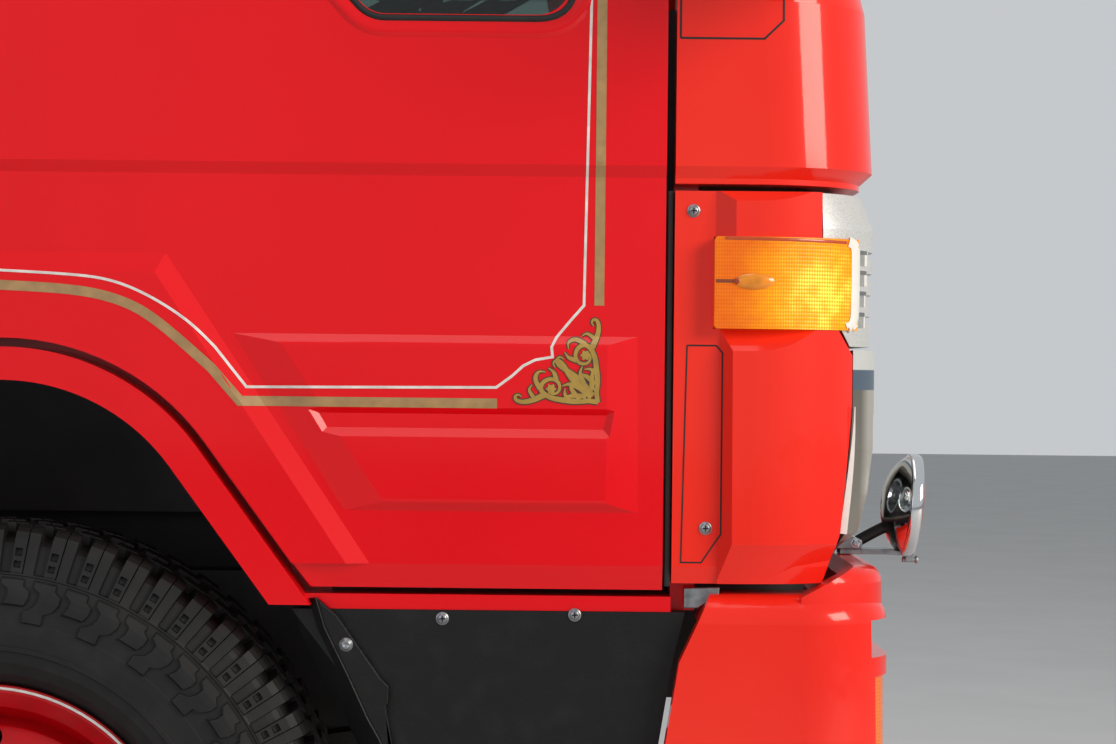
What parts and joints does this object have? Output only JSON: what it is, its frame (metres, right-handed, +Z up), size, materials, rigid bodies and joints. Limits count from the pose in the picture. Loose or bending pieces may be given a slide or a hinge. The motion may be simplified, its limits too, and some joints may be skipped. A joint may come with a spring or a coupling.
{
  "type": "fire truck",
  "caption": "Light four-wheel-drive crew-cab fire engine with a forward-control cab, side pump bays, equipment lockers, roof ladder and suction hoses.",
  "frame": {"origin": "on the ground under the middle of the truck's overall box", "axes": "+X forward, +Y to the left, +Z up"},
  "size_m": [5.3999, 2.17, 2.2999],
  "materials": {
    "red_paint": "gloss",
    "wheel_paint": "gloss",
    "black_paint": "satin",
    "cabin_paint": "satin",
    "black_plastic": "textured",
    "grey_plastic": "satin",
    "silver_plastic": "silver paint",
    "clear_lens": "clear over reflector",
    "amber_lens": "ribbed lens",
    "red_lens": "ribbed lens",
    "window_glass": "clear",
    "tyre_rubber": "matt",
    "black_rubber": "matt",
    "seat_fabric": "woven vinyl",
    "aluminium": "brushed",
    "stainless": "brushed"
  },
  "bodies": {
    "chassis": {"chassis_frame": "black_paint", "front_axle": "black_paint", "rear_axle": "black_paint", "driveline": "black_paint", "side_tanks": "black_paint", "front_bumper": "red_paint", "turn_lamps": "amber_lens", "warning_lamps": "red_lens", "aprons": "black_plastic", "cab_roof": "red_paint", "cab_back": "red_paint", "cab_sides": "red_paint", "cab_nose": "red_paint", "corner_panels": "red_paint", "grille": "silver_plastic", "lamp_surround": "grey_plastic", "headlamps": "clear_lens", "windscreen": "window_glass", "mirrors": "black_plastic", "light_bar": "red_lens", "cab_floor": "cabin_paint", "dashboard": "grey_plastic", "seats": "seat_fabric", "front_flare_right": "red_paint", "front_flare_left": "red_paint", "rear_flares": "red_paint", "body_shell": "red_paint", "shutters": "aluminium", "locker_boxes": "aluminium", "pump_panels": "stainless", "pump_outlets": "stainless", "body_floor": "black_paint", "hose_deck": "red_paint", "ladder": "aluminium", "suction_hoses": "black_rubber", "rear_step": "black_paint", "tail_lamps": "red_lens", "mud_flaps": "black_rubber"},
    "front_door_right": {"front_door_right": "red_paint", "front_door_glass_right": "window_glass"},
    "rear_door_right": {"rear_door_right": "red_paint", "rear_door_glass_right": "window_glass"},
    "flap_right": {"locker_flap_right": "red_paint"},
    "knuckle_right": {"knuckle_right": "black_paint"},
    "front_wheel_right": {"front_tyre_right": "tyre_rubber", "front_rim_right": "wheel_paint"},
    "rear_wheels_right": {"rear_tyres_right": "tyre_rubber", "rear_rims_right": "wheel_paint"},
    "front_door_left": {"front_door_left": "red_paint", "front_door_glass_left": "window_glass"},
    "rear_door_left": {"rear_door_left": "red_paint", "rear_door_glass_left": "window_glass"},
    "flap_left": {"locker_flap_left": "red_paint"},
    "knuckle_left": {"knuckle_left": "black_paint"},
    "front_wheel_left": {"front_tyre_left": "tyre_rubber", "front_rim_left": "wheel_paint"},
    "rear_wheels_left": {"rear_tyres_left": "tyre_rubber", "rear_rims_left": "wheel_paint"},
    "steering_wheel": {"steering_wheel": "black_plastic"}
  },
  "joints": [
    {"name": "front_door_right_hinge", "type": "hinge", "parent": "chassis", "child": "front_door_right", "pos_m": [2.36, -0.893, 1.2], "axis": [0, 0, 1], "range_deg": [0, 70]},
    {"name": "rear_door_right_hinge", "type": "hinge", "parent": "chassis", "child": "rear_door_right", "pos_m": [1.303, -0.893, 1.2], "axis": [0, 0, 1], "range_deg": [0, 70]},
    {"name": "flap_right_hinge", "type": "hinge", "parent": "chassis", "child": "flap_right", "pos_m": [-2.165, -0.8933, 0.692], "axis": [1, 0, 0], "range_deg": [0, 90]},
    {"name": "steer_right", "type": "hinge", "parent": "chassis", "child": "knuckle_right", "pos_m": [1.615, -0.65, 0.403], "axis": [0, 0, 1], "range_deg": [-35, 35]},
    {"name": "front_wheel_right_spin", "type": "hinge", "parent": "knuckle_right", "child": "front_wheel_right", "pos_m": [1.615, -0.77, 0.403], "axis": [0, 1, 0], "continuous": true},
    {"name": "rear_wheels_right_spin", "type": "hinge", "parent": "chassis", "child": "rear_wheels_right", "pos_m": [-1.285, -0.656, 0.403], "axis": [0, 1, 0], "continuous": true},
    {"name": "front_door_left_hinge", "type": "hinge", "parent": "chassis", "child": "front_door_left", "pos_m": [2.36, 0.893, 1.2], "axis": [0, 0, -1], "range_deg": [0, 70]},
    {"name": "rear_door_left_hinge", "type": "hinge", "parent": "chassis", "child": "rear_door_left", "pos_m": [1.303, 0.893, 1.2], "axis": [0, 0, -1], "range_deg": [0, 70]},
    {"name": "flap_left_hinge", "type": "hinge", "parent": "chassis", "child": "flap_left", "pos_m": [-2.165, 0.8933, 0.692], "axis": [-1, 0, 0], "range_deg": [0, 90]},
    {"name": "steer_left", "type": "hinge", "parent": "chassis", "child": "knuckle_left", "pos_m": [1.615, 0.65, 0.403], "axis": [0, 0, 1], "range_deg": [-35, 35]},
    {"name": "front_wheel_left_spin", "type": "hinge", "parent": "knuckle_left", "child": "front_wheel_left", "pos_m": [1.615, 0.77, 0.403], "axis": [0, 1, 0], "continuous": true},
    {"name": "rear_wheels_left_spin", "type": "hinge", "parent": "chassis", "child": "rear_wheels_left", "pos_m": [-1.285, 0.656, 0.403], "axis": [0, 1, 0], "continuous": true},
    {"name": "steering_wheel_turn", "type": "hinge", "parent": "chassis", "child": "steering_wheel", "pos_m": [2.085, -0.48, 1.43], "axis": [-0.4226, 0, 0.9063], "range_deg": [-540, 540]}
  ],
  "couplings": [
    {"joint": "steer_right", "follows": "steer_left", "ratio": 1},
    {"joint": "steering_wheel_turn", "follows": "steer_left", "ratio": 15.4}
  ]
}
